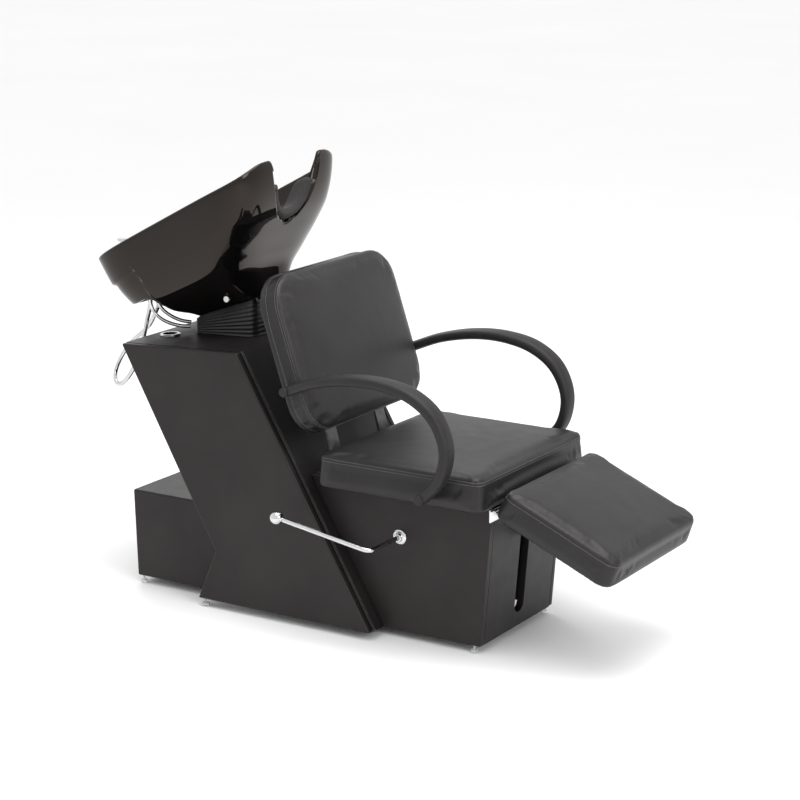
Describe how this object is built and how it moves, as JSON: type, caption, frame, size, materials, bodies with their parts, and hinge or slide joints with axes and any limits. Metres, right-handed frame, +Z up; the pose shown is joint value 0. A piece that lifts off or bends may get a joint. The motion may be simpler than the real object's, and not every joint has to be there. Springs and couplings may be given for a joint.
{
  "type": "shampoo backwash unit",
  "caption": "Salon chair with C-shaped arms and a swinging leg rest on a panelled base, joined to a tilting gloss basin with a neck notch, mixer tap and hand spray.",
  "frame": {"origin": "on the floor, under the middle of the unit's length and width", "axes": "+X the way the sitter faces, +Y the sitter's left, +Z up"},
  "size_m": [1.5419, 0.6527, 1.1129],
  "materials": {
    "leather": "satin",
    "wood_board": "matte",
    "black_ceramic": "gloss",
    "chrome": "polished",
    "dark_steel": "satin",
    "arm_plastic": "satin",
    "rubber": "matte",
    "clear_plastic": "gloss"
  },
  "bodies": {
    "main": {"backrest_cushion": "leather", "body_side_panel_r": "leather", "body_side_panel_l": "leather", "body_rear_upper_panel": "leather", "body_top_panel": "leather", "body_front_panel": "leather", "plinth_shell": "leather", "base_side_panel_r": "leather", "base_side_panel_l": "leather", "base_front_panel": "leather", "seat_cushion": "leather", "backrest_frame": "wood_board", "base_top_board": "wood_board", "seat_frame": "wood_board", "leg_hinge_fixed_leaf": "chrome", "hose_grommet_ring": "chrome", "lever_flange": "chrome", "supply_hose_hot": "chrome", "supply_hose_cold": "chrome", "back_bracket": "dark_steel", "arm_spacer_r": "dark_steel", "arm_spacer_l": "dark_steel", "strut_base_clevis": "dark_steel", "tilt_bracket": "dark_steel", "tilt_pin": "dark_steel", "armrest_r": "arm_plastic", "armrest_l": "arm_plastic", "arm_bolt_rear_r": "arm_plastic", "arm_bolt_rear_l": "arm_plastic", "arm_bolt_front_r": "arm_plastic", "arm_bolt_front_l": "arm_plastic", "tilt_boot": "rubber", "glide_plinth_r": "clear_plastic", "glide_plinth_l": "clear_plastic", "glide_body_r": "clear_plastic", "glide_body_l": "clear_plastic", "glide_base_r": "clear_plastic", "glide_base_l": "clear_plastic"},
    "leg_rest": {"leg_rest_board": "wood_board", "leg_rest_pad": "leather", "leg_hinge_moving_leaf": "chrome", "strut_leg_clevis": "dark_steel"},
    "strut_rod": {"strut_rod": "chrome"},
    "strut_cylinder": {"strut_cylinder": "dark_steel"},
    "lever": {"lever_arm": "chrome", "lever_ball": "chrome", "release_cam": "dark_steel"},
    "bowl": {"basin_bowl": "black_ceramic", "neck_rest_pad": "rubber", "drain_outlet": "chrome", "tilt_cradle": "dark_steel", "clamp_screw_r": "chrome", "clamp_screw_l": "chrome", "mixer_body": "chrome", "spray_socket": "chrome", "shower_hose": "chrome"},
    "strainer": {"drain_strainer": "chrome"},
    "mixer_cap": {"mixer_cap": "chrome"},
    "mixer_lever": {"mixer_lever": "chrome"},
    "hand_spray": {"hand_spray": "chrome"}
  },
  "joints": [
    {"name": "leg_rest_swing", "type": "hinge", "parent": "main", "child": "leg_rest", "pos_m": [0.425, 0, 0.36], "axis": [0, 1, 0], "range_deg": [0, 66]},
    {"name": "strut_rod_pivot", "type": "hinge", "parent": "main", "child": "strut_rod", "pos_m": [0.15, 0, 0.3], "axis": [0, 1, 0], "range_deg": [-0.5, 33.5]},
    {"name": "strut_cylinder_pivot", "type": "hinge", "parent": "leg_rest", "child": "strut_cylinder", "pos_m": [0.67141, 0, 0.22451], "axis": [0, 1, 0], "range_deg": [-33.6, 0.5]},
    {"name": "lever_lift", "type": "hinge", "parent": "main", "child": "lever", "pos_m": [0.159, -0.18, 0.256], "axis": [0, 1, 0], "range_deg": [0, 20], "stiffness_Nm_per_rad": 2},
    {"name": "bowl_tilt", "type": "hinge", "parent": "main", "child": "bowl", "pos_m": [-0.515, 0, 0.668], "axis": [0, 1, 0], "range_deg": [-8, 3], "deforming": ["tilt_boot", "supply_hose_hot", "supply_hose_cold"]},
    {"name": "strainer_lift", "type": "slide", "parent": "bowl", "child": "strainer", "axis": [-0.4695, 0, 0.8829], "range_m": [0, 0.03]},
    {"name": "mixer_turn", "type": "hinge", "parent": "bowl", "child": "mixer_cap", "pos_m": [-0.69115, -0.106, 0.86566], "axis": [-0.4695, 0, 0.8829], "range_deg": [-40, 40]},
    {"name": "mixer_lever_lift", "type": "hinge", "parent": "mixer_cap", "child": "mixer_lever", "pos_m": [-0.68461, -0.106, 0.88318], "axis": [0, 1, 0], "range_deg": [0, 22]},
    {"name": "hand_spray_pull", "type": "slide", "parent": "bowl", "child": "hand_spray", "axis": [-0.4695, 0, 0.8829], "range_m": [0, 0.08]}
  ],
  "couplings": [
    {"joint": "strut_rod_pivot", "follows": "leg_rest_swing", "ratio": 0.4996},
    {"joint": "strut_cylinder_pivot", "follows": "leg_rest_swing", "ratio": -0.5004}
  ]
}
